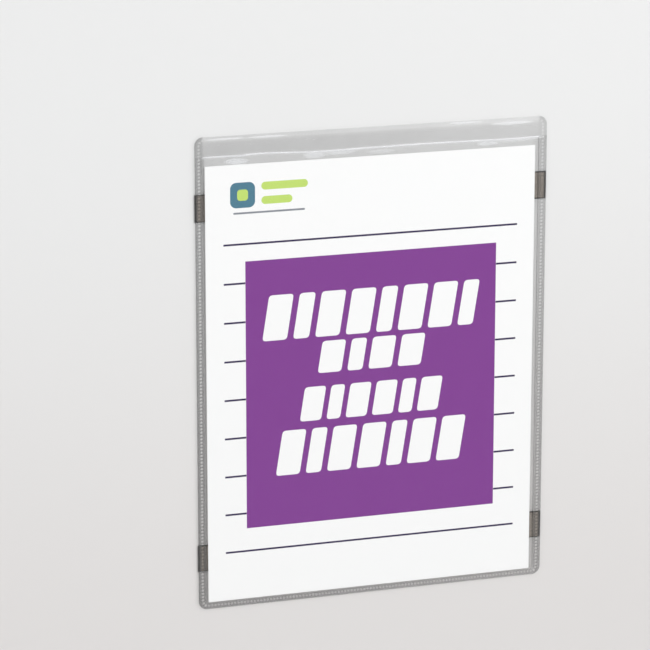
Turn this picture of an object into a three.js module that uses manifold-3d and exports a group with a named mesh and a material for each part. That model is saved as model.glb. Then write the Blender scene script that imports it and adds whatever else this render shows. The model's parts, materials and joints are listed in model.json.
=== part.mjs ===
// A clear vinyl pocket for one letter sheet, held on upright steel by two flexible magnet strips.
// Millimetres. X runs across the pocket, Z is up and the open face looks to -Y.
// The origin is the middle of the upper magnet's back face, which lies on the steel.
import * as THREE from "three";
import { mergeVertices } from "three/addons/utils/BufferGeometryUtils.js";
import Module from "manifold-3d";

const wasm = await Module();
wasm.setup();

// The sheet that the pocket is made for
const insertWidth = 215.9;
const insertHeight = 279.4;
const insertThickness = 0.12;

// Films and magnets
const filmThickness = 0.3;
const magnetThickness = 0.8;
const magnetHeight = 17.5;
const adhesiveThickness = 0.12;
const adhesiveInset = 0.6;

// Weld: its flat border, its row of dots and the run in which the front film leaves the border
const sideWeldBand = 4;
const bottomWeldBand = 3;
const sideRun = 2;
const bottomRun = 1.2;
const dotPitch = 2.15;
const dotRadius = 0.62;
const dotDepth = 0.16;
const dotSides = 6;
const sideDotInset = 2.7;
const endDotInset = 2.1;

// Room round the insert
const sidePlay = 1.05;
const insertDriftShare = -0.66;
const insertLift = 0.2;
const insertBackGap = 0.02;
const insertFrontGap = 0.3;

// Heights above the insert and places of the magnets
const lipAboveInsert = 4.6;
const backAboveLip = 13.7;
const upperMagnetDrop = 44.3;
const lowerMagnetRise = 33.6;
const cornerRadius = 5.5;
const cornerSteps = 5;

// Form of the front film: a soft bulge, ripples along its free lip, and the lip's own line
const bulge = 0.9;
const ripples = [
  { place: -84, halfWidth: 9, height: 1.5 },
  { place: -39, halfWidth: 12, height: 1.2 },
  { place: 28, halfWidth: 30, height: 0.9 },
  { place: 84, halfWidth: 15, height: 1 },
];
const rippleFade = 24;
const lipWave = 0.6;
const lipWaveLength = 118;
const kinkPlace = -86;
const kinkRun = 5;
const kinkFall = 36;
const kinkHeight = 1.7;
const columnStep = 7;
const rowStep = 30;
const lipRowStep = 5;
const lipRows = 6;

// Print on the insert: evenly spaced rules, and a block with rows of unprinted leaning tabs
const inkThickness = 0.02;
const ruleThickness = 1.2;
const ruleCount = 9;
const ruleSideMargin = 11.5;
const ruleTopMargin = 50;
const ruleBottomMargin = 31.4;
const ruleGap = 0.1;
const blockSideMargin = 25.4;
const blockTopMargin = 61;
const blockBottomMargin = 46.3;
const tabRows = [
  { above: 48.8, inset: 11, height: 29, count: 8 },
  { above: 21.1, inset: 46.5, height: 20.5, count: 4 },
  { above: -8.6, inset: 35, height: 22, count: 6 },
  { above: -39.1, inset: 19.5, height: 29, count: 7 },
];
const narrowTab = 0.72;
const tabGapShare = 0.2;
const tabCorner = 2.2;
const tabLean = 0.16;
const tabCornerSteps = 3;

// Sizes that follow from those above
const sideMargin = sideWeldBand + sideRun + sidePlay;
const bottomMargin = bottomWeldBand + bottomRun + insertLift;
const pocketWidth = insertWidth + 2 * sideMargin;
const lipHeight = bottomMargin + insertHeight + lipAboveInsert;
const pocketHeight = lipHeight + backAboveLip;
const pocketTop = upperMagnetDrop;
const pocketBottom = pocketTop - pocketHeight;
const lipZ = pocketBottom + lipHeight;
const lowerMagnetZ = pocketBottom + lowerMagnetRise;
const adhesiveBack = -magnetThickness;
const filmBack = adhesiveBack - adhesiveThickness;
const filmFront = filmBack - filmThickness;
const insertRoom = insertBackGap + insertThickness + inkThickness + insertFrontGap;
const insertMiddleX = sidePlay * insertDriftShare;
const insertBottom = pocketBottom + bottomMargin;
const insertFace = filmFront - insertBackGap - insertThickness;
const blockSides = [blockSideMargin - insertWidth / 2, insertWidth / 2 - blockSideMargin];
const blockHeights = [blockBottomMargin, insertHeight - blockTopMargin];

// A closed three.js geometry as a manifold solid
function toSolid(geometry) {
  const bare = geometry.clone();
  bare.deleteAttribute("normal");
  bare.deleteAttribute("uv");
  const welded = mergeVertices(bare, 1e-5);
  return new wasm.Manifold(new wasm.Mesh({
    numProp: 3,
    vertProperties: new Float32Array(welded.attributes.position.array),
    triVerts: new Uint32Array(welded.index.array),
  }));
}

// A manifold solid as a three.js geometry
function toGeometry(solid) {
  const mesh = solid.getMesh();
  const geometry = new THREE.BufferGeometry();
  geometry.setAttribute("position", new THREE.BufferAttribute(new Float32Array(mesh.vertProperties), 3));
  geometry.setIndex(new THREE.BufferAttribute(new Uint32Array(mesh.triVerts), 1));
  const flat = geometry.toNonIndexed();
  flat.computeVertexNormals();
  return flat;
}

// A block given by its ranges: across, in depth (more negative is nearer the viewer) and upwards
function block([left, right], [front, back], [bottom, top]) {
  const geometry = new THREE.BoxGeometry(right - left, back - front, top - bottom);
  return geometry.translate((left + right) / 2, (front + back) / 2, (bottom + top) / 2);
}

// The pocket's outline, with four rounded corners
function outline() {
  const half = pocketWidth / 2;
  const r = cornerRadius;
  const shape = new THREE.Shape();
  shape.absarc(half - r, pocketBottom + r, r, -Math.PI / 2, 0);
  shape.absarc(half - r, pocketTop - r, r, 0, Math.PI / 2);
  shape.absarc(r - half, pocketTop - r, r, Math.PI / 2, Math.PI);
  shape.absarc(r - half, pocketBottom + r, r, Math.PI, 1.5 * Math.PI);
  return shape;
}

// Upright shapes as plates between two depths
function plate(shapes, front, back) {
  const options = { depth: back - front, bevelEnabled: false, curveSegments: cornerSteps };
  const geometry = new THREE.ExtrudeGeometry(shapes, options);
  return geometry.rotateX(Math.PI / 2).translate(0, back, 0);
}

// The row of weld dots: a rounded rectangle inside the outline, walked at an even pitch
function dotPath() {
  const half = pocketWidth / 2 - sideDotInset;
  const top = pocketTop - endDotInset;
  const bottom = pocketBottom + endDotInset;
  const r = cornerRadius - Math.min(sideDotInset, endDotInset);
  const path = new THREE.Path();
  path.moveTo(-half + r, top);
  path.lineTo(half - r, top);
  path.absarc(half - r, top - r, r, Math.PI / 2, 0, true);
  path.lineTo(half, bottom + r);
  path.absarc(half - r, bottom + r, r, 0, -Math.PI / 2, true);
  path.lineTo(r - half, bottom);
  path.absarc(r - half, bottom + r, r, -Math.PI / 2, -Math.PI, true);
  path.lineTo(-half, top - r);
  path.absarc(r - half, top - r, r, Math.PI, Math.PI / 2, true);
  return path;
}

// One weld dot: a pointed pit sunk into a face, cut by a cone that is as far outside as inside
function dotCutter(place, face) {
  const cone = new THREE.ConeGeometry(2 * dotRadius, 2 * dotDepth, dotSides);
  return toSolid(cone).translate([place.x, face, place.y]);
}

// All the weld dots whose height passes the test, as one cutter for the face
function dotRow(face, belongs) {
  const path = dotPath();
  const count = Math.round(path.getLength() / dotPitch);
  const places = path.getSpacedPoints(count).slice(0, count).filter(belongs);
  return wasm.Manifold.compose(places.map((place) => dotCutter(place, face)));
}

// Smooth step from 0 to 1
const ease = (t) => THREE.MathUtils.smoothstep(t, 0, 1);

// The lip's height over the pocket's width: a cut edge that waves a little and has one small kink
function lipAt(x) {
  const wave = lipWave * Math.sin((2 * Math.PI * x) / lipWaveLength);
  const up = ease((x - kinkPlace) / kinkRun);
  const down = 1 - ease((x - kinkPlace - kinkRun) / kinkFall);
  return lipZ + wave + kinkHeight * up * down;
}

// How far the front film's inner face stands off the back film at a place
function standOff(x, z) {
  const inFromSide = pocketWidth / 2 - sideWeldBand - Math.abs(x);
  const inFromBottom = z - pocketBottom - bottomWeldBand;
  const rise = ease(inFromSide / sideRun) * ease(inFromBottom / bottomRun);
  const across = Math.max(0, 1 - (x / (pocketWidth / 2 - sideWeldBand)) ** 2);
  const up = ease(inFromBottom / (lipHeight / 3));
  const ripple = ripples.reduce((sum, { place, halfWidth, height }) =>
    sum + height * Math.exp(-(((x - place) / halfWidth) ** 2)), 0);
  const fade = Math.exp(-(lipZ - z) / rippleFade);
  return rise * (insertRoom + across * bulge * up + ripple * fade);
}

// Stations across the pocket: close together at the weld and at the run, even between
function columnStations() {
  const edge = pocketWidth / 2;
  const weld = edge - sideWeldBand;
  const inner = weld - sideRun;
  const count = Math.max(2, Math.round((2 * inner) / columnStep));
  const even = Array.from({ length: count + 1 }, (_, i) => -inner + (2 * inner * i) / count);
  return [-edge, -weld, -weld + sideRun / 2, ...even, weld - sideRun / 2, weld, edge];
}

// Stations up the pocket, as distances above its bottom edge
function rowStations() {
  const run = bottomWeldBand + bottomRun;
  const lipZone = lipHeight - lipRows * lipRowStep;
  const count = Math.max(2, Math.round((lipZone - run) / rowStep));
  const even = Array.from({ length: count + 1 }, (_, i) => run + ((lipZone - run) * i) / count);
  const lip = Array.from({ length: lipRows }, (_, i) => lipZone + (i + 1) * lipRowStep);
  return [0, bottomWeldBand, bottomWeldBand + bottomRun / 2, ...even, ...lip];
}

// The front film: a thin block on a grid of stations, pressed into shape and trimmed to the outline
function frontFilm() {
  const columns = columnStations();
  const rows = rowStations();
  const [across, up] = [columns.length - 1, rows.length - 1];
  const geometry = new THREE.BoxGeometry(across, filmThickness, up, across, 1, up);
  const position = geometry.attributes.position;
  for (let i = 0; i < position.count; i += 1) {
    const x = columns[Math.round(position.getX(i) + across / 2)];
    const share = rows[Math.round(position.getZ(i) + up / 2)] / lipHeight;
    const z = pocketBottom + share * (lipAt(x) - pocketBottom);
    const outward = position.getY(i) < 0 ? filmThickness : 0;
    position.setXYZ(i, x, filmFront - outward - standOff(x, z), z);
  }
  const deepest = Math.max(...ripples.map(({ height }) => height));
  const deep = bulge + deepest + insertRoom + filmThickness;
  const trimmed = toSolid(geometry).intersect(toSolid(plate(outline(), filmFront - 2 * deep, filmBack)));
  const dots = dotRow(filmFront - filmThickness, (place) => place.y < lipAt(place.x) - dotPitch);
  return trimmed.subtract(dots);
}

// The back film: the whole outline, with the dots that go on round its top above the lip
function backFilm() {
  const dots = dotRow(filmFront, (place) => place.y > lipAt(place.x) + dotPitch);
  return toSolid(plate(outline(), filmFront, filmBack)).subtract(dots);
}

// A magnet strip over the full width, centred on a height
function magnetStrip(height) {
  const half = pocketWidth / 2;
  const rise = magnetHeight / 2;
  return block([-half, half], [adhesiveBack, 0], [height - rise, height + rise]);
}

// The adhesive between a magnet strip and the back film, a little smaller than the strip
function adhesiveStrip(height) {
  const half = pocketWidth / 2 - adhesiveInset;
  const rise = magnetHeight / 2 - adhesiveInset;
  return block([-half, half], [filmBack, adhesiveBack], [height - rise, height + rise]);
}

// The insert, standing on the bottom run and drifted to one side
function insertSheet() {
  const sides = [insertMiddleX - insertWidth / 2, insertMiddleX + insertWidth / 2];
  const depths = [insertFace, insertFace + insertThickness];
  return block(sides, depths, [insertBottom, insertBottom + insertHeight]);
}

// A rectangle as a shape, by its sides and heights on the sheet
function rectangle([left, right], [low, high]) {
  const corners = [[left, low], [right, low], [right, high], [left, high]];
  return new THREE.Shape(corners.map(([x, y]) => new THREE.Vector2(x, y)));
}

// A tab of the block: a rounded rectangle that leans over
function tab([left, right], [low, high]) {
  const r = tabCorner;
  const path = new THREE.Path();
  path.moveTo(left + r, low);
  path.lineTo(right - r, low);
  path.quadraticCurveTo(right, low, right, low + r);
  path.lineTo(right, high - r);
  path.quadraticCurveTo(right, high, right - r, high);
  path.lineTo(left + r, high);
  path.quadraticCurveTo(left, high, left, high - r);
  path.lineTo(left, low + r);
  path.quadraticCurveTo(left, low, left + r, low);
  const middle = (low + high) / 2;
  const lean = (point) => new THREE.Vector2(point.x + tabLean * (point.y - middle), point.y);
  return new THREE.Shape(path.getPoints(tabCornerSteps).slice(0, -1).map(lean));
}

// One row of tabs side by side inside the block, every third tab narrower from the second on
function tabRow({ above, inset, height, count }) {
  const middle = (blockHeights[0] + blockHeights[1]) / 2 + above;
  const heights = [middle - height / 2, middle + height / 2];
  const shares = Array.from({ length: count }, (_, i) => (i % 3 === 1 ? narrowTab : 1));
  const sum = (values) => values.reduce((total, value) => total + value, 0);
  const unit = (blockSides[1] - blockSides[0] - 2 * inset) / sum(shares);
  const gap = (tabGapShare * unit) / 2;
  return shares.map((share, i) => {
    const left = blockSides[0] + inset + unit * sum(shares.slice(0, i));
    return tab([left + gap, left + share * unit - gap], heights);
  });
}

// Shapes given on the sheet, as plates set in front of or behind its face
function onSheet(shapes, front, back) {
  const plates = plate(shapes, insertFace + front, insertFace + back);
  return plates.translate(insertMiddleX, 0, insertBottom);
}

// The printed block, with its tabs cut out so that the sheet shows through
function printedBlock() {
  const block = toSolid(onSheet(rectangle(blockSides, blockHeights), -inkThickness, 0));
  const tabs = toSolid(onSheet(tabRows.flatMap(tabRow), -2 * inkThickness, inkThickness));
  return toGeometry(block.subtract(tabs));
}

// The printed rules from the top down: whole above and below the block, and two stubs beside it
function printedRules() {
  const ends = [ruleSideMargin - insertWidth / 2, insertWidth / 2 - ruleSideMargin];
  const step = (insertHeight - ruleTopMargin - ruleBottomMargin) / (ruleCount - 1);
  const rule = (name, sides, heights) =>
    piece(name, onSheet(rectangle(sides, heights), -inkThickness, 0), indigoInk);
  return Array.from({ length: ruleCount }, (_, i) => {
    const name = `printed_rule_${i + 1}`;
    const middle = insertHeight - ruleTopMargin - i * step;
    const heights = [middle - ruleThickness / 2, middle + ruleThickness / 2];
    if (heights[0] > blockHeights[1] || heights[1] < blockHeights[0]) {
      return [rule(name, ends, heights)];
    }
    return [
      rule(`${name}_left`, [ends[0], blockSides[0] - ruleGap], heights),
      rule(`${name}_right`, [blockSides[1] + ruleGap, ends[1]], heights),
    ];
  }).flat();
}

const vinyl = { color: 0xb9bbbe, roughness: 0.22, metalness: 0, transparent: true, opacity: 0.4 };
const rubber = { color: 0x514c47, roughness: 0.75, metalness: 0 };
const glue = { color: 0xd6d2c4, roughness: 0.5, metalness: 0 };
const paper = { color: 0xfbfbfa, roughness: 0.6, metalness: 0 };
const violetInk = { color: 0x84499a, roughness: 0.5, metalness: 0 };
const indigoInk = { color: 0x4f3d77, roughness: 0.5, metalness: 0 };

// A named mesh with a material of its own
function piece(name, geometry, finish) {
  const mesh = new THREE.Mesh(geometry, new THREE.MeshStandardMaterial(finish));
  mesh.name = name;
  return mesh;
}

const group = new THREE.Group();
group.add(
  piece("back_sheet", toGeometry(backFilm()), vinyl),
  piece("front_sheet", toGeometry(frontFilm()), vinyl),
  piece("upper_magnet", magnetStrip(0), rubber),
  piece("lower_magnet", magnetStrip(lowerMagnetZ), rubber),
  piece("upper_adhesive", adhesiveStrip(0), glue),
  piece("lower_adhesive", adhesiveStrip(lowerMagnetZ), glue),
  piece("insert_sheet", insertSheet(), paper),
  piece("printed_block", printedBlock(), violetInk),
  ...printedRules(),
);

export default group;
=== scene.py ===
import json
import math

import bpy
import numpy as np
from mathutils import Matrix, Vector

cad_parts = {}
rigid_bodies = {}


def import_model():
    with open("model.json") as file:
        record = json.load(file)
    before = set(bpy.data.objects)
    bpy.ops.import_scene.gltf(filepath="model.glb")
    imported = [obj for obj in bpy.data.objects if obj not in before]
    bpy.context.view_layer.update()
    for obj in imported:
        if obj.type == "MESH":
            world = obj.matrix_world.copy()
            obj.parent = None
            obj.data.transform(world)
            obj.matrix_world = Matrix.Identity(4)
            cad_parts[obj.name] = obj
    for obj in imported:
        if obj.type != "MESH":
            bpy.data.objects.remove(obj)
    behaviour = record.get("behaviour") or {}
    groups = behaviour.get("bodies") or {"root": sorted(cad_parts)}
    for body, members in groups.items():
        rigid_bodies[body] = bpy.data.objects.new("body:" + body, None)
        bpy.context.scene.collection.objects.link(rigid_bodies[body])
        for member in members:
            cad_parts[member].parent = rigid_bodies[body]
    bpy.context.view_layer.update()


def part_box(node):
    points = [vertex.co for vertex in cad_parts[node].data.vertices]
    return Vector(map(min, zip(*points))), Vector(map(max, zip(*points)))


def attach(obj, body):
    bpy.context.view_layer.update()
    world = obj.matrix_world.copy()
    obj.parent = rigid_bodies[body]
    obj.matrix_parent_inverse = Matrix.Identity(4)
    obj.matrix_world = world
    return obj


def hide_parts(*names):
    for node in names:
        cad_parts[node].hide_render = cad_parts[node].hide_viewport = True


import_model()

# Sizes of the pocket, in metres, read from the frame where it holds them
BACK_LOW, BACK_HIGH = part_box("back_sheet")
INSERT_LOW, INSERT_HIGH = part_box("insert_sheet")
HALF_WIDTH = BACK_HIGH[0]
TOP = BACK_HIGH[2]
BOTTOM = BACK_LOW[2]
BACK_FACE = BACK_LOW[1]
MM = 0.001
CORNER_RADIUS = 5.5 * MM
FILM = 0.3 * MM
WALL_OF_FILM = 0.28 * MM
FRONT_FACE = BACK_FACE - FILM

# Lip and form of the front film
LIP = TOP - 12.3 * MM
SIDE_BAND = 4.0 * MM
BOTTOM_BAND = 3.0 * MM
SIDE_RUN = 1.4 * MM
BOTTOM_RUN = 1.2 * MM
INSERT_ROOM = 0.46 * MM
BULGE = 0.9 * MM
RIPPLE_FADE = 24 * MM
LIP_WAVE = 0.3 * MM
LIP_WAVE_LENGTH = 118 * MM

# Ripples of the lip: place across, half width and height, and the kink beside the first
RIPPLES = ((-84 * MM, 9 * MM, 1.5 * MM), (-39 * MM, 12 * MM, 1.2 * MM),
           (28 * MM, 30 * MM, 0.9 * MM), (84 * MM, 15 * MM, 1.0 * MM))
KINK_PLACE = -86 * MM
KINK_RUN = 5 * MM
KINK_FALL = 50 * MM
KINK_HEIGHT = 0.6 * MM

# Weld dots
DOT_PITCH = 2.15 * MM
DOT_RADIUS = 0.95 * MM
DOT_DEPTH = 0.16 * MM
SIDE_DOT_INSET = 2.7 * MM
END_DOT_INSET = 2.1 * MM

# Steps of the film meshes; a border wider than the corner radius would fold over itself there
BORDER = 5.5 * MM
BORDER_STEP = DOT_PITCH / 5
BORDER_COLUMNS = 14
SEAM_RUN = 3.0 * MM
SEAM_STEPS = 6
PANEL_STEP = 3.0 * MM
LIP_SHIFT_RUN = 40 * MM
FAR = 1.0

# Steps of the strips
STRIP_SIDES = 16
STRIP_STATIONS = 60
STRIP_WANDER = 40
MAGNET_ROUNDING = 0.25 * MM
MAGNET_SAG = 0.02
ADHESIVE_ROUNDING = 0.05 * MM
ADHESIVE_SAG = 0.01

# Camera, solved from the corners of the letter sheet and the pocket in the photograph
CAMERA_AZIMUTH = math.radians(-18.24)
CAMERA_ELEVATION = math.radians(14.49)
FOCAL_PIXELS = 3308
FRAME_PIXELS = 650
SENSOR = 36
CAMERA_DISTANCE = 2.0765
CAMERA_RIGHT = -0.0300
CAMERA_UP = 0.0239


def ease(t):
    """Smooth step: 0 below 0, 1 above 1, and 3t^2 - 2t^3 between."""
    t = np.clip(t, 0, 1)
    return t * t * (3 - 2 * t)


def near(distance, width):
    """A soft bump: 1 at distance 0 and falling as a Gaussian of the given width."""
    return np.exp(-((distance / width) ** 2))


def mesh_piece(name, points, faces, values, material):
    """An object from arrays of points and four-sided faces, with a float attribute per value."""
    mesh = bpy.data.meshes.new(name)
    mesh.from_pydata(points.tolist(), [], faces.tolist())
    for label, array in values.items():
        layer = mesh.attributes.new(label, "FLOAT", "POINT")
        layer.data.foreach_set("value", np.ascontiguousarray(array, dtype=np.float32))
    mesh.polygons.foreach_set("use_smooth", np.ones(len(mesh.polygons), dtype=bool))
    mesh.materials.append(material)
    mesh.update()
    piece = bpy.data.objects.new(name, mesh)
    bpy.context.scene.collection.objects.link(piece)
    return piece


def plain_piece(name, points, faces, material):
    """An object from lists of points and faces, shaded flat."""
    mesh = bpy.data.meshes.new(name)
    mesh.from_pydata(points, [], faces)
    mesh.materials.append(material)
    mesh.update()
    piece = bpy.data.objects.new(name, mesh)
    bpy.context.scene.collection.objects.link(piece)
    return piece


def grid_faces(rows, columns, start=0, closed=False):
    """Faces of a grid of points numbered row by row; closed joins the last row to the first."""
    row = np.arange(rows if closed else rows - 1)[:, None]
    column = np.arange(columns - 1)[None, :]
    a = start + row * columns + column
    b = start + ((row + 1) % rows) * columns + column
    return np.stack([a, a + 1, b + 1, b], axis=-1).reshape(-1, 4)


# The pocket's shape

def lip_height(x):
    """Height of the lip over the width: a cut edge that waves as one sine, with one small kink.

    The kink is a smooth step up over its run times a smooth step back down over its fall."""
    wave = LIP_WAVE * np.sin(2 * np.pi * x / LIP_WAVE_LENGTH)
    up = ease((x - KINK_PLACE) / KINK_RUN)
    down = 1 - ease((x - KINK_PLACE - KINK_RUN) / KINK_FALL)
    return LIP + wave + KINK_HEIGHT * up * down


def stand_off(x, z):
    """How far the front film stands off the back film.

    It rises over a run inside the weld band to the insert's room. A bulge is added, as a parabola
    across the width, and the lip's ripples, as Gaussians across that fade below the lip."""
    from_side = HALF_WIDTH - SIDE_BAND - np.abs(x)
    from_bottom = z - BOTTOM - BOTTOM_BAND
    rise = ease(from_side / SIDE_RUN) * ease(from_bottom / BOTTOM_RUN)
    across = np.clip(1 - (x / (HALF_WIDTH - SIDE_BAND)) ** 2, 0, 1)
    up = ease(3 * from_bottom / (LIP - BOTTOM))
    ripple = sum(height * near(x - place, width) for place, width, height in RIPPLES)
    fade = np.exp(-(LIP - z) / RIPPLE_FADE)
    return rise * (INSERT_ROOM + BULGE * across * up + ripple * fade)


def outline_path(step, radius, half, low, high):
    """Points and outward normals of a rounded rectangle, walked from the top left anticlockwise.

    Straight stretches and quarter circles are laid end to end, and sampled at an even step."""
    turn = 0.5 * np.pi * radius
    tall = high - low - 2 * radius
    wide = 2 * half - 2 * radius
    length = 4 * turn + 2 * tall + 2 * wide
    count = int(round(length / step))
    s = np.arange(count) * (length / count)
    ends = np.cumsum([tall, turn, wide, turn, tall, turn, wide, turn])
    starts = ends - np.array([tall, turn, wide, turn, tall, turn, wide, turn])
    leg = np.searchsorted(ends, s, side="right")
    along = s - starts[leg]
    turned = leg // 2 * 0.5 * np.pi
    angle = np.pi + turned + np.where(leg % 2 == 1, along / radius, 0)
    left, right = radius - half, half - radius
    centre_x = np.select([leg == 0, leg == 1, leg == 2, leg == 3, leg == 4, leg == 5, leg == 6],
                         [left, left, left + along, right, right, right, right - along], left)
    centre_z = np.select([leg == 0, leg <= 3, leg == 4, leg <= 7],
                         [high - radius - along, low + radius, low + radius + along, high - radius])
    normal = np.stack([np.cos(angle), np.sin(angle)], axis=-1)
    point = np.stack([centre_x, centre_z], axis=-1) + radius * normal
    return point, normal


def pit_depth(x, z, centres, reach):
    """Depth of the weld dots: a round bowl (1 - (d / reach)^2)^2, with d to the nearest centre."""
    nearest = np.full(x.shape, np.inf)
    for centre_x, centre_z in centres:
        nearest = np.minimum(nearest, np.hypot(x - centre_x, z - centre_z))
    return np.clip(1 - (nearest / reach) ** 2, 0, 1) ** 2


def dot_centres():
    """Centres of the weld dots, at an even pitch round a rounded rectangle inside the outline."""
    radius = CORNER_RADIUS - min(SIDE_DOT_INSET, END_DOT_INSET)
    return outline_path(DOT_PITCH, radius, HALF_WIDTH - SIDE_DOT_INSET,
                        BOTTOM + END_DOT_INSET, TOP - END_DOT_INSET)[0]


def graded(low, high):
    """Places from low to high at the panel's step, with fine steps over a run at either end."""
    fine = np.linspace(0, SEAM_RUN, SEAM_STEPS, endpoint=False)
    count = int((high - low - 2 * SEAM_RUN) / PANEL_STEP)
    return np.concatenate([low + fine, np.linspace(low + SEAM_RUN, high - SEAM_RUN, count),
                           high - fine[::-1]])


def film_piece(name, material, front):
    """One film: a fine strip along its edge with the weld dots, and a plain grid inside it.

    Strip: point(s, t) = outline(s) - t * normal(s), with t from the edge to the border's width.
    Grid: point(u, v) = (u, v), with finer steps beside the strip. Near the lip the front film's
    rows slide onto the lip's line. The dots' bowls push both back, and Solidify gives the wall."""
    point, normal = outline_path(BORDER_STEP, CORNER_RADIUS, HALF_WIDTH, BOTTOM, TOP)
    if front:
        kept = point[:, 1] < LIP
        first = int(np.argmax(kept & ~np.roll(kept, 1)))
        point, normal, kept = (np.roll(array, -first, axis=0) for array in (point, normal, kept))
        point, normal = point[kept], normal[kept]
        point[[0, -1], 1] = LIP
    t = np.linspace(0, BORDER, BORDER_COLUMNS)
    high = LIP if front else TOP - BORDER
    inner = HALF_WIDTH - BORDER
    across = graded(-inner, inner)
    up = graded(BOTTOM + BORDER, high)
    panel_x, panel_z = np.meshgrid(across, up)
    x = np.concatenate([(point[:, None, 0] - t * normal[:, None, 0]).ravel(), panel_x.ravel()])
    z = np.concatenate([(point[:, None, 1] - t * normal[:, None, 1]).ravel(), panel_z.ravel()])
    edge = np.concatenate([np.tile(t, len(point)), np.full(panel_x.size, FAR)])
    if front:
        shift = ease((z - LIP + LIP_SHIFT_RUN) / LIP_SHIFT_RUN) * (lip_height(x) - LIP)
        z = z + shift
        y = FRONT_FACE - stand_off(x, z)
    else:
        y = np.full(x.shape, BACK_FACE)
    lip = lip_height(x) - z
    centres = dot_centres()
    below = centres[:, 1] < lip_height(centres[:, 0]) - 0.5 * DOT_PITCH
    pits = pit_depth(x, z, centres[below == front], DOT_RADIUS)
    strip = grid_faces(len(point), len(t), closed=not front)
    panel = grid_faces(len(up), len(across), start=len(point) * len(t))
    points = np.stack([x, y + DOT_DEPTH * pits, z], axis=-1)
    values = {"pit": pits, "edge": edge, "lip": lip}
    piece = mesh_piece(name, points, np.concatenate([strip[:, ::-1], panel]), values, material)
    wall = piece.modifiers.new("film wall", "SOLIDIFY")
    wall.thickness = WALL_OF_FILM
    wall.offset = -1
    return piece


def strip_piece(name, node, radius, sag, material):
    """A strip across the pocket, over the box of its node: a rounded rectangle carried along X.

    Profile: quarter circles of the radius at the four corners. The cut edges wander by the sag, as
    one slow sine along the strip, inwards only. Two flat faces close its ends."""
    low, high = (np.array(corner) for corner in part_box(node))
    angle = (np.arange(STRIP_SIDES) + 0.5) * (2 * np.pi / STRIP_SIDES)
    corner_y = np.where(np.cos(angle) > 0, high[1] - radius, low[1] + radius)
    corner_z = np.where(np.sin(angle) > 0, high[2] - radius, low[2] + radius)
    profile_y = corner_y + radius * np.cos(angle)
    profile_z = corner_z + radius * np.sin(angle)
    x = np.linspace(low[0], high[0], STRIP_STATIONS)[:, None]
    middle = (low[2] + high[2]) / 2
    wander = 1 - sag * (0.5 + 0.5 * np.sin(x * STRIP_WANDER))
    y = np.broadcast_to(profile_y, (STRIP_STATIONS, STRIP_SIDES))
    z = middle + (profile_z - middle) * wander
    points = np.stack([np.broadcast_to(x, y.shape), y, z], axis=-1).reshape(-1, 3)
    ring = np.arange(STRIP_SIDES)
    row = np.arange(STRIP_STATIONS - 1)[:, None] * STRIP_SIDES
    turned = (ring + 1) % STRIP_SIDES
    after = row + STRIP_SIDES
    sides = np.stack([row + ring, row + turned, after + turned, after + ring], axis=-1)
    ends = [ring[::-1].tolist(), (after[-1] + ring).tolist()]
    return plain_piece(name, points.tolist(), sides.reshape(-1, 4).tolist() + ends, material)


# The generic mark in the sheet's corner, which stays with the scene

INK = 0.012 * MM
MIDDLE_X = (INSERT_LOW[0] + INSERT_HIGH[0]) / 2
MIDDLE_Z = (INSERT_LOW[2] + INSERT_HIGH[2]) / 2
FIELD_SIDES = 24

# Fields as left, right, low, high and corner radius, in millimetres from the sheet's middle
MARK_SQUARE = (-92, -76, 112.5, 128.5, 4)
MARK_WINDOW = (-87.5, -80.5, 117, 124, 2)
MARK_BARS = ((-72, -42, 123, 128, 2.5), (-72, -52, 114, 119, 2.5))
MARK_LINE = (-90, -44, 108.6, 109.8, 0.5)


def ink_piece(name, fields, layer, material):
    """One ink of the mark: rounded rectangles as single faces that look towards the viewer.

    Field: quarter circles of the radius at its four corners. It lies layer times the ink's height
    in front of the sheet."""
    left, right, low, high, radius = np.array(fields, dtype=float).T[:, :, None]
    angle = (np.arange(FIELD_SIDES) + 0.5) * (2 * np.pi / FIELD_SIDES)
    x = np.where(np.cos(angle) > 0, right - radius, left + radius) + radius * np.cos(angle)
    z = np.where(np.sin(angle) > 0, high - radius, low + radius) + radius * np.sin(angle)
    y = np.full(x.shape, INSERT_LOW[1] - INK * layer)
    points = np.stack([MIDDLE_X + x * MM, y, MIDDLE_Z + z * MM], axis=-1).reshape(-1, 3)
    faces = np.arange(len(points)).reshape(-1, FIELD_SIDES)
    piece = plain_piece(name, points.tolist(), faces.tolist(), material)
    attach(piece, "root")
    return piece


# Materials

# Fades as the two distances, in metres, between which a mask falls
SIDE_FADE = (4.3 * MM, 5.8 * MM)
BOTTOM_FADE = (3.6 * MM, 4.2 * MM)
RIM_FADE = (0.4 * MM, 2.0 * MM)
TOP_FADE = (2.0 * MM, 5.0 * MM)
LIP_FADE = (-0.3 * MM, 0.3 * MM)
CUT_FADE = (0.5 * MM, 1.2 * MM)

# The films' greys, as alpha; a pair is its left and right value
FRONT_GREY = 0.012
FRONT_BORDER_GREY = 0.235
BOTTOM_SHARE = 0.9
# The back film's grey is lighter on the right: painted shade, as more light falls there
BACK_GREY = (0.136, 0.100)
BACK_CLOUD = 0.016
BACK_BORDER_GREY = 0.27
BACK_UNDER_GREY = 0.04
UNDER_SHARE = 0.5
RIM_GREY = 0.04
TOP_CLEARS = 0.05
# Painted shade of the welded border: its grey is scaled most low on the left and least high on the
# right, where more light falls
PAINTED_SHADE_LEFT = 0.87
PAINTED_SHADE_RIGHT = -0.38
PAINTED_SHADE_LOW = 0.40

# Vinyl: its gloss, clear coat and slow waves, and the clouds in the back film's grey
VINYL_ROUGHNESS = 0.16
VINYL_IOR = 1.53
COAT_WEIGHT = 1.0
COAT_ROUGHNESS = 0.05
WAVE_SCALE = 35
WAVE_DEPTH = 0.4 * MM
CLOUD_SCALE = 28

# The part of a noise's range that is spread over a ramp
NOISE_SPAN = (0.3, 0.7)
NOISE_DETAIL = 3

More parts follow.
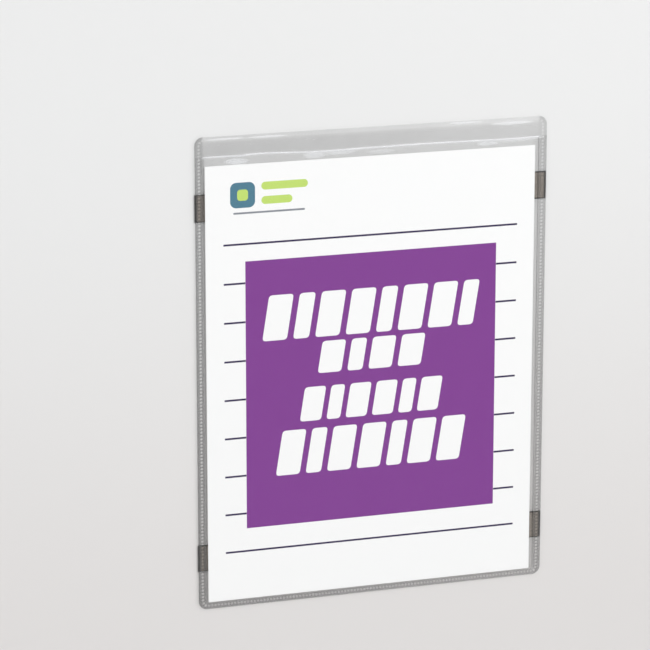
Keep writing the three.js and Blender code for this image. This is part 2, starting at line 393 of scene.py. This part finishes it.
# Magnet: colours, streaks along the strip, specks and gloss
MAGNET_DARK = (0.024, 0.021, 0.019)
MAGNET_PALE = (0.050, 0.044, 0.040)
MAGNET_SPECK = (0.09, 0.083, 0.077)
STREAK_SCALE = 500
STREAK_ALONG = 0.05
SPECK_SCALE = 2500
SPECK_SPAN = (0.55, 0.75)
SPECK_SHARE = 0.5
MAGNET_ROUGHNESS = (0.5, 0.72)
MAGNET_RELIEF = 0.05 * MM

# Paper and inks: colours, fibre, mottle and gloss
PAPER_DARK = (0.915, 0.912, 0.908)
PAPER_PALE = (0.950, 0.948, 0.944)
PAPER_ROUGHNESS = 0.6
FIBRE_SCALE = 1500
FIBRE_RELIEF = 0.03 * MM
VIOLET = (0.216, 0.038, 0.282)
INDIGO = (0.030, 0.016, 0.075)
TEAL = (0.07, 0.20, 0.28)
LIME = (0.55, 0.74, 0.16)
INK_GREY = (0.25, 0.27, 0.30)
MOTTLE_SCALE = 700
MOTTLE_SHADE = 0.93
INK_ROUGHNESS = (0.42, 0.5)

# Adhesive: haze and gloss, its colours, and the distances from the ends over which it thins
HAZE_SCALE = 900
HAZE_ALONG = 0.08
ADHESIVE_ROUGHNESS = (0.45, 0.65)
ADHESIVE_DARK = (0.215, 0.186, 0.160)
ADHESIVE_PALE = (0.385, 0.340, 0.298)
ADHESIVE_END = (0.070, 0.060, 0.053)
END_FADE = (0.7 * MM, 1.5 * MM)

# Share of its grey that a film keeps in its shadow, since clear film lets most light through
SHADOW_SHARE = 0.4

# Weld dots: the bowl's share over which one shows, how far it clears the grey, and the shares of
# that which are left along the bottom, along the top and at the sides above the lip
DOT_FADE = (0.03, 0.35)
DOT_CLEARS = 1.0
BOTTOM_DOT_SHARE = 0.6
TOP_DOT_SHARE = 0.25
OPEN_DOT_SHARE = 0.55

# Painted highlights of the lip and patches: strengths, colours, and the patches' place, half sizes
# (mm) and share
CUT_HIGHLIGHT_STRENGTH = 0.5
SHEEN_STRENGTH = 0.42
SHEEN_FADE = (5.3 * MM, 5.9 * MM)
PALE_FADE = (0.0, 0.05)
FILM_GREY = (0.06, 0.06, 0.062)
FILM_HIGHLIGHT = (0.80, 0.81, 0.83)
FRONT_PATCHES = ((-89, -3.6, 9, 2.6, 0.85), (-39, -2.7, 9, 2.5, 0.65), (-22, -2.0, 13, 2.0, 0.6),
                 (4, -3.2, 12, 1.6, 0.4), (74.5, -2.6, 9, 1.9, 0.7), (96, -1.3, 18, 1.7, 0.5))
BACK_PATCHES = ((-95.5, -1.9, 14, 0.7, 0.5), (-68, -2.0, 14, 0.7, 0.6), (61, -1.3, 12, 0.7, 0.7),
                (92, -3.3, 15, 1.2, 0.5))


def new_material(name):
    """An empty material with a Principled shader on its output."""
    material = bpy.data.materials.new(name)
    material.use_nodes = True
    tree = material.node_tree
    tree.nodes.clear()
    shader = tree.nodes.new("ShaderNodeBsdfPrincipled")
    output = tree.nodes.new("ShaderNodeOutputMaterial")
    tree.links.new(shader.outputs["BSDF"], output.inputs["Surface"])
    return material, tree, shader


def math_node(tree, operation, *values):
    """A Math node fed with numbers or sockets, as one output."""
    node = tree.nodes.new("ShaderNodeMath")
    node.operation = operation
    for socket, value in zip(node.inputs, values):
        if isinstance(value, (int, float)):
            socket.default_value = value
        else:
            tree.links.new(value, socket)
    return node.outputs[0]


def ramp(tree, value, low, high, start, end):
    """A Map Range node: value from low..high onto start..end, clamped and smooth."""
    node = tree.nodes.new("ShaderNodeMapRange")
    node.interpolation_type = "SMOOTHSTEP"
    for label, number in zip(("From Min", "From Max", "To Min", "To Max"), (low, high, start, end)):
        node.inputs[label].default_value = number
    tree.links.new(value, node.inputs["Value"])
    return node.outputs["Result"]


def attribute(tree, name):
    """The named float attribute of the mesh."""
    node = tree.nodes.new("ShaderNodeAttribute")
    node.attribute_name = name
    return node.outputs["Fac"]


def object_axes(tree):
    """The sockets of Object coordinates across (X) and up (Z)."""
    place = tree.nodes.new("ShaderNodeTexCoord")
    split = tree.nodes.new("ShaderNodeSeparateXYZ")
    tree.links.new(place.outputs["Object"], split.inputs["Vector"])
    return split.outputs["X"], split.outputs["Z"]


def new_group(name, inputs, outputs):
    """An empty shader node group with float sockets of the given names, and its end nodes."""
    tree = bpy.data.node_groups.new(name, "ShaderNodeTree")
    for labels, way in ((inputs, "INPUT"), (outputs, "OUTPUT")):
        for label in labels:
            tree.interface.new_socket(label, in_out=way, socket_type="NodeSocketFloat")
    return tree, tree.nodes.new("NodeGroupInput"), tree.nodes.new("NodeGroupOutput")


def grain_group():
    """Group: noise on Object coordinates, at a Scale per metre, drawn out across by Along."""
    tree, start, end = new_group("grain", ("Scale", "Along"), ("Value",))
    place = tree.nodes.new("ShaderNodeTexCoord")
    stretch = tree.nodes.new("ShaderNodeCombineXYZ")
    stretch.inputs["Y"].default_value = 1
    stretch.inputs["Z"].default_value = 1
    tree.links.new(start.outputs["Along"], stretch.inputs["X"])
    scaled = tree.nodes.new("ShaderNodeVectorMath")
    scaled.operation = "MULTIPLY"
    tree.links.new(place.outputs["Object"], scaled.inputs[0])
    tree.links.new(stretch.outputs["Vector"], scaled.inputs[1])
    texture = tree.nodes.new("ShaderNodeTexNoise")
    texture.inputs["Detail"].default_value = NOISE_DETAIL
    tree.links.new(start.outputs["Scale"], texture.inputs["Scale"])
    tree.links.new(scaled.outputs["Vector"], texture.inputs["Vector"])
    tree.links.new(texture.outputs["Fac"], end.inputs["Value"])
    return tree


def weld_group():
    """Group: masks of the welded border at the sides and the bottom, its painted shade, and Right.

    The shade is painted shade, how strong the border's grey is: most low on the left, least high on
    the right, where more light falls.
    Right runs from 0 at the left edge to 1 at the right edge."""
    tree, start, end = new_group("weld border", (), ("Side", "Bottom", "Shade", "Right"))
    x, z = object_axes(tree)
    from_side = math_node(tree, "SUBTRACT", HALF_WIDTH, math_node(tree, "ABSOLUTE", x))
    from_bottom = math_node(tree, "SUBTRACT", z, BOTTOM)
    right = ramp(tree, x, -HALF_WIDTH, HALF_WIDTH, 0, 1)
    low = ramp(tree, z, BOTTOM, TOP, 1, 0)
    shade = math_node(tree, "MULTIPLY_ADD", right, PAINTED_SHADE_RIGHT, PAINTED_SHADE_LEFT)
    shade = math_node(tree, "MULTIPLY_ADD", low, PAINTED_SHADE_LOW, shade)
    tree.links.new(ramp(tree, from_side, *SIDE_FADE, 1, 0), end.inputs["Side"])
    bottom = ramp(tree, from_bottom, *BOTTOM_FADE, BOTTOM_SHARE, 0)
    tree.links.new(bottom, end.inputs["Bottom"])
    tree.links.new(shade, end.inputs["Shade"])
    tree.links.new(right, end.inputs["Right"])
    return tree


def patch_group():
    """Group: a soft ellipse about the place Across and Up, on Object coordinates.

    It is Share in the middle, and falls smoothly to 0 where the squares of the distances over its
    half Width and half Height add up to 1."""
    labels = ("Across", "Up", "Width", "Height", "Share")
    tree, start, end = new_group("pale patch", labels, ("Value",))
    centre_x, centre_z, half_x, half_z, share = (start.outputs[label] for label in labels)
    x, z = object_axes(tree)
    across = math_node(tree, "DIVIDE", math_node(tree, "SUBTRACT", x, centre_x), half_x)
    up = math_node(tree, "DIVIDE", math_node(tree, "SUBTRACT", z, centre_z), half_z)
    across = math_node(tree, "MULTIPLY", across, across)
    square = math_node(tree, "MULTIPLY_ADD", up, up, across)
    spot = math_node(tree, "MULTIPLY", ramp(tree, square, 0, 1, 1, 0), share)
    tree.links.new(spot, end.inputs["Value"])
    return tree


def use_group(tree, group, **values):
    """A group's node in a material, with numbers on its inputs."""
    node = tree.nodes.new("ShaderNodeGroup")
    node.node_tree = group
    for label, value in values.items():
        node.inputs[label].default_value = value
    return node


def grain(tree, scale, along=1.0):
    """The grain group's value at a scale per metre, drawn out across where along is under 1."""
    return use_group(tree, GRAIN, Scale=scale, Along=along).outputs["Value"]


def value_mix(tree, factor, low, high):
    """A number between two, by a factor socket; each is a number or a socket."""
    rise = math_node(tree, "SUBTRACT", high, low)
    return math_node(tree, "MULTIPLY_ADD", factor, rise, low)


# Places of the Mix node's colour sockets, which share their names with its other kinds
MIX_LOW = 6
MIX_HIGH = 7
MIX_RESULT = 2


def colour_mix(tree, factor, low, high):
    """A colour between two, by a factor socket; each is a colour or a socket."""
    node = tree.nodes.new("ShaderNodeMix")
    node.data_type = "RGBA"
    tree.links.new(factor, node.inputs["Factor"])
    for socket, value in ((node.inputs[MIX_LOW], low), (node.inputs[MIX_HIGH], high)):
        if isinstance(value, tuple):
            socket.default_value = (*value, 1)
        else:
            tree.links.new(value, socket)
    return node.outputs[MIX_RESULT]


def add_bump(tree, shader, height, distance):
    """A Bump node from a height socket onto the shader's normal."""
    bump = tree.nodes.new("ShaderNodeBump")
    bump.inputs["Distance"].default_value = distance
    tree.links.new(height, bump.inputs["Height"])
    tree.links.new(bump.outputs["Normal"], shader.inputs["Normal"])


def film_body(tree, weld, dot, lip, front):
    """How grey the film is: its alpha before the painted highlights of the lip and patches.

    Front: nearly clear, and grey in the welded border, scaled by its painted shade. Back: a grey
    that thins towards the top edge and below the lip, and towards the right as painted shade, with
    the border's grey and painted shade at the sides above the lip and hardly any below it, where
    the front film has it. A weld dot clears a share of either."""
    side, bottom, shade = (weld.outputs[label] for label in ("Side", "Bottom", "Shade"))
    border = math_node(tree, "MAXIMUM", side, bottom)
    rim = math_node(tree, "MULTIPLY", ramp(tree, attribute(tree, "edge"), *RIM_FADE, 1, 0), border)
    if front:
        # The border's grey, darker or lighter by its painted shade
        grey = math_node(tree, "MULTIPLY", border, shade)
        grey = math_node(tree, "MULTIPLY", grey, FRONT_BORDER_GREY)
        grey = math_node(tree, "ADD", grey, FRONT_GREY)
        share = value_mix(tree, side, BOTTOM_DOT_SHARE, 1.0)
    else:
        _, z = object_axes(tree)
        above = ramp(tree, lip, *LIP_FADE, 1, 0)
        below = math_node(tree, "SUBTRACT", 1, above)
        cloud = ramp(tree, grain(tree, CLOUD_SCALE), *NOISE_SPAN, 0, BACK_CLOUD)
        # Painted shade: the back film's grey thins from left to right
        grey = math_node(tree, "ADD", cloud, value_mix(tree, weld.outputs["Right"], *BACK_GREY))
        from_top = math_node(tree, "SUBTRACT", TOP, z)
        grey = math_node(tree, "SUBTRACT", grey, ramp(tree, from_top, *TOP_FADE, TOP_CLEARS, 0))
        grey = math_node(tree, "MULTIPLY", grey, value_mix(tree, above, UNDER_SHARE, 1.0))
        lit_side = math_node(tree, "MULTIPLY", side, above)
        # At the sides above the lip, the border's grey with its painted shade
        grey = value_mix(tree, lit_side, grey, math_node(tree, "MULTIPLY", shade, BACK_BORDER_GREY))
        grey = value_mix(tree, math_node(tree, "MULTIPLY", border, below), grey, BACK_UNDER_GREY)
        share = value_mix(tree, side, TOP_DOT_SHARE, OPEN_DOT_SHARE)
    grey = math_node(tree, "MULTIPLY_ADD", rim, RIM_GREY, grey)
    strength = math_node(tree, "MULTIPLY", share, DOT_CLEARS)
    kept = math_node(tree, "SUBTRACT", 1, math_node(tree, "MULTIPLY", dot, strength))
    return math_node(tree, "MULTIPLY", grey, kept)


def vinyl_material(name, front):
    """Clear film: a grey veil by its alpha, with a painted highlight along the cut lip and painted
    highlights in pale patches at its ripples.

    In its shadow the film keeps only a share of its grey, and the painted highlights cast none."""
    material, tree, shader = new_material(name)
    shader.inputs["Roughness"].default_value = VINYL_ROUGHNESS
    shader.inputs["IOR"].default_value = VINYL_IOR
    shader.inputs["Coat Weight"].default_value = COAT_WEIGHT
    shader.inputs["Coat Roughness"].default_value = COAT_ROUGHNESS
    weld = use_group(tree, WELD)
    lip = attribute(tree, "lip")
    dot = ramp(tree, attribute(tree, "pit"), *DOT_FADE, 0, 1)
    body = film_body(tree, weld, dot, lip, front)
    # Painted highlights: pale patches where the ripples turn to the light
    pale = math_node(tree, "MULTIPLY", sheen(tree, front), SHEEN_STRENGTH)
    if front:
        # Painted highlight along the cut lip, left out in the side borders
        cut = ramp(tree, lip, *CUT_FADE, CUT_HIGHLIGHT_STRENGTH, 0)
        free = math_node(tree, "SUBTRACT", 1, weld.outputs["Side"])
        clear_of_sheet = ramp(tree, lip, *SHEEN_FADE, 1, 0)
        pale = math_node(tree, "MULTIPLY", pale, clear_of_sheet)
        pale = math_node(tree, "MAXIMUM", pale, math_node(tree, "MULTIPLY", cut, free))
    path = tree.nodes.new("ShaderNodeLightPath")
    seen = math_node(tree, "MAXIMUM", body, pale)
    cast = math_node(tree, "MULTIPLY", body, SHADOW_SHARE)
    alpha = value_mix(tree, path.outputs["Is Shadow Ray"], seen, cast)
    tree.links.new(alpha, shader.inputs["Alpha"])
    # The painted highlights take the pale colour
    shown = ramp(tree, pale, *PALE_FADE, 0, 1)
    tree.links.new(colour_mix(tree, shown, FILM_GREY, FILM_HIGHLIGHT), shader.inputs["Base Color"])
    add_bump(tree, shader, grain(tree, WAVE_SCALE), WAVE_DEPTH)
    return material


def sheen(tree, front):
    """Painted highlights: pale patches where the rippled film turns to the light, at the lip or
    near the top edge.
    """
    base = LIP if front else TOP
    total = None
    for across, drop, half_width, half_height, share in FRONT_PATCHES if front else BACK_PATCHES:
        spot = use_group(tree, PATCH, Across=across * MM, Up=base + drop * MM,
                         Width=half_width * MM, Height=half_height * MM, Share=share)
        spot = spot.outputs["Value"]
        total = math_node(tree, "MAXIMUM", spot, total) if total else spot
    return total


def magnet_material():
    """Flexible magnet: nearly black, with fine streaks along the strip and a matt grain."""
    material, tree, shader = new_material("flexible magnet strip")
    streak = grain(tree, STREAK_SCALE, STREAK_ALONG)
    speck = ramp(tree, grain(tree, SPECK_SCALE), *SPECK_SPAN, 0, SPECK_SHARE)
    tone = colour_mix(tree, streak, MAGNET_DARK, MAGNET_PALE)
    tree.links.new(colour_mix(tree, speck, tone, MAGNET_SPECK), shader.inputs["Base Color"])
    gloss = ramp(tree, streak, *NOISE_SPAN, *MAGNET_ROUGHNESS)
    tree.links.new(gloss, shader.inputs["Roughness"])
    add_bump(tree, shader, math_node(tree, "ADD", streak, speck), MAGNET_RELIEF)
    return material


def adhesive_material():
    """Transfer adhesive on the magnet: a brown-grey haze with fine lines, thin at its ends."""
    material, tree, shader = new_material("transfer adhesive")
    air = grain(tree, HAZE_SCALE, HAZE_ALONG)
    x, _ = object_axes(tree)
    from_end = math_node(tree, "SUBTRACT", HALF_WIDTH, math_node(tree, "ABSOLUTE", x))
    bare = ramp(tree, from_end, *END_FADE, 1, 0)
    haze = colour_mix(tree, air, ADHESIVE_DARK, ADHESIVE_PALE)
    tree.links.new(colour_mix(tree, bare, haze, ADHESIVE_END), shader.inputs["Base Color"])
    gloss = ramp(tree, air, *NOISE_SPAN, *ADHESIVE_ROUGHNESS)
    tree.links.new(gloss, shader.inputs["Roughness"])
    return material


def paper_material():
    """White letter paper with a faint fibre."""
    material, tree, shader = new_material("white letter paper")
    shader.inputs["Roughness"].default_value = PAPER_ROUGHNESS
    fibre = grain(tree, FIBRE_SCALE)
    tree.links.new(colour_mix(tree, fibre, PAPER_DARK, PAPER_PALE), shader.inputs["Base Color"])
    add_bump(tree, shader, fibre, FIBRE_RELIEF)
    return material


def ink_material(name, colour):
    """Printed ink: its colour with a faint mottle, a little smoother than the paper."""
    material, tree, shader = new_material(name)
    mottle = grain(tree, MOTTLE_SCALE)
    darker = tuple(MOTTLE_SHADE * value for value in colour)
    tree.links.new(colour_mix(tree, mottle, darker, colour), shader.inputs["Base Color"])
    gloss = ramp(tree, mottle, *NOISE_SPAN, *INK_ROUGHNESS)
    tree.links.new(gloss, shader.inputs["Roughness"])
    return material


# The stage

WALL_GAP = 0.25 * MM
WALL_SIDE = 1.6
# Painted shade on the wall: its colour is darker and warmer low down, where the lamps' light falls
# off
WALL_FADE = (BOTTOM - 0.05, TOP + 0.03)
WALL_SHADED_LOW = (0.710, 0.686, 0.676)
WALL_LIT_HIGH = (0.775, 0.773, 0.770)
WALL_ROUGHNESS = 0.7
FLOOR_DROP = 0.45
FLOOR_REACH = 4
FLOOR_COLOUR = (0.80, 0.80, 0.79)
FLOOR_ROUGHNESS = 0.8

# Softboxes as name, place, size in metres and power in watts, and the even world
LAMPS = (("key softbox", (0.75, -1.6, 1.1), 1.0, 20),
         ("fill softbox", (-1.6, -1.5, 0.3), 1.2, 6.5),
         ("back softbox", (0.6, 1.8, 1.0), 1.2, 12))
WORLD_COLOUR = (0.93, 0.94, 0.95)
WORLD_STRENGTH = 0.66


def stage_plane(name, corners, material):
    """A flat quad given by its corners, which is not part of the object."""
    mesh = bpy.data.meshes.new(name)
    mesh.from_pydata(corners, [], [(0, 1, 2, 3)])
    mesh.materials.append(material)
    plane = bpy.data.objects.new(name, mesh)
    bpy.context.scene.collection.objects.link(plane)
    return plane


def wall_material():
    """Pale panel that shows only from its front, so that the pocket's back can be seen.

    Its colour is darker and warmer towards the bottom: painted shade where the light falls off.
    """
    material, tree, shader = new_material("pale panel")
    _, z = object_axes(tree)
    # Painted shade: darker and warmer towards the bottom
    height = ramp(tree, z, *WALL_FADE, 0, 1)
    tree.links.new(colour_mix(tree, height, WALL_SHADED_LOW, WALL_LIT_HIGH), shader.inputs["Base Color"])
    shader.inputs["Roughness"].default_value = WALL_ROUGHNESS
    geometry = tree.nodes.new("ShaderNodeNewGeometry")
    clear = tree.nodes.new("ShaderNodeBsdfTransparent")
    mix = tree.nodes.new("ShaderNodeMixShader")
    output = next(node for node in tree.nodes if node.type == "OUTPUT_MATERIAL")
    tree.links.new(geometry.outputs["Backfacing"], mix.inputs["Fac"])
    tree.links.new(shader.outputs["BSDF"], mix.inputs[1])
    tree.links.new(clear.outputs["BSDF"], mix.inputs[2])
    tree.links.new(mix.outputs["Shader"], output.inputs["Surface"])
    return material


def build_stage():
    """A wall just behind the magnets and a floor well below, out of the photograph's view."""
    half = WALL_SIDE / 2
    high = (TOP + BOTTOM) / 2 + half
    low = BOTTOM - FLOOR_DROP
    corners = [(-half, WALL_GAP, low), (half, WALL_GAP, low), (half, WALL_GAP, high),
               (-half, WALL_GAP, high)]
    wall = stage_plane("wall", corners, wall_material())
    wall.visible_shadow = False
    wall.visible_diffuse = False
    floor, _, shader = new_material("pale floor")
    shader.inputs["Base Color"].default_value = (*FLOOR_COLOUR, 1)
    shader.inputs["Roughness"].default_value = FLOOR_ROUGHNESS
    reach = FLOOR_REACH
    corners = [(-reach, -reach, low), (reach, -reach, low), (reach, reach, low),
               (-reach, reach, low)]
    stage_plane("floor", corners, floor)


def area_lamp(name, place, target, size, power):
    """A square softbox at a place, aimed at a target."""
    data = bpy.data.lights.new(name, "AREA")
    data.size = size
    data.energy = power
    lamp = bpy.data.objects.new(name, data)
    lamp.location = place
    lamp.rotation_euler = (Vector(target) - Vector(place)).to_track_quat("-Z", "Y").to_euler()
    bpy.context.scene.collection.objects.link(lamp)


def build_lights():
    """The three softboxes, aimed at the pocket's middle, and an even pale world."""
    aim = (0, 0, (TOP + BOTTOM) / 2)
    for name, place, size, power in LAMPS:
        area_lamp(name, place, aim, size, power)
    world = bpy.data.worlds.new("pale studio")
    world.use_nodes = True
    background = world.node_tree.nodes["Background"]
    background.inputs["Color"].default_value = (*WORLD_COLOUR, 1)
    background.inputs["Strength"].default_value = WORLD_STRENGTH
    bpy.context.scene.world = world


def build_camera():
    """The photograph's camera: a long lens to the left of the pocket and above it, unshifted."""
    turn, lift = CAMERA_AZIMUTH, CAMERA_ELEVATION
    level = math.cos(lift)
    back = Vector((math.sin(turn) * level, -math.cos(turn) * level, math.sin(lift)))
    right = Vector((0, 0, 1)).cross(back).normalized()
    up = back.cross(right)
    middle = Vector((0, BACK_FACE, (TOP + BOTTOM) / 2))
    data = bpy.data.cameras.new("camera")
    data.sensor_width = SENSOR
    data.lens = SENSOR * FOCAL_PIXELS / FRAME_PIXELS
    camera = bpy.data.objects.new("camera", data)
    offset = CAMERA_RIGHT * right + CAMERA_UP * up + CAMERA_DISTANCE * back
    camera.location = middle + offset
    camera.rotation_euler = (math.pi / 2 - lift, 0, turn)
    bpy.context.scene.collection.objects.link(camera)
    bpy.context.scene.camera = camera


def dress(node, material):
    """Give a carried-over node its material."""
    piece = bpy.data.objects[node]
    piece.data.materials.clear()
    piece.data.materials.append(material)


scene = bpy.context.scene
scene.view_settings.view_transform = "Standard"
build_camera()
build_stage()
build_lights()

GRAIN = grain_group()
WELD = weld_group()
PATCH = patch_group()
front_film = film_piece("front_film", vinyl_material("front vinyl film", True), True)
back_film = film_piece("back_film", vinyl_material("back vinyl film", False), False)
pieces = [(front_film, "front_sheet", "vinyl"), (back_film, "back_sheet", "vinyl")]

magnet = magnet_material()
adhesive = adhesive_material()
for level in ("upper", "lower"):
    strip = strip_piece(f"{level}_magnet_strip", f"{level}_magnet",
                        MAGNET_ROUNDING, MAGNET_SAG, magnet)
    layer = strip_piece(f"{level}_adhesive_layer", f"{level}_adhesive",
                        ADHESIVE_ROUNDING, ADHESIVE_SAG, adhesive)
    pieces += [(strip, f"{level}_magnet", "magnet"), (layer, f"{level}_adhesive", "adhesive")]
for piece, node, slot in pieces:
    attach(piece, "root")
    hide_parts(node)

violet = ink_material("violet ink", VIOLET)
indigo = ink_material("indigo ink", INDIGO)
teal = ink_material("teal ink", TEAL)
lime = ink_material("lime ink", LIME)
grey = ink_material("grey ink", INK_GREY)
dress("insert_sheet", paper_material())
dress("printed_block", violet)
rules = [piece.name for piece in bpy.data.objects if piece.name.startswith("printed_rule_")]
for rule in rules:
    dress(rule, indigo)
ink_piece("corner_mark_square", [MARK_SQUARE], 1, teal)
ink_piece("corner_mark_window", [MARK_WINDOW], 2, lime)
ink_piece("corner_mark_bars", MARK_BARS, 1, lime)
ink_piece("corner_mark_line", [MARK_LINE], 1, grey)
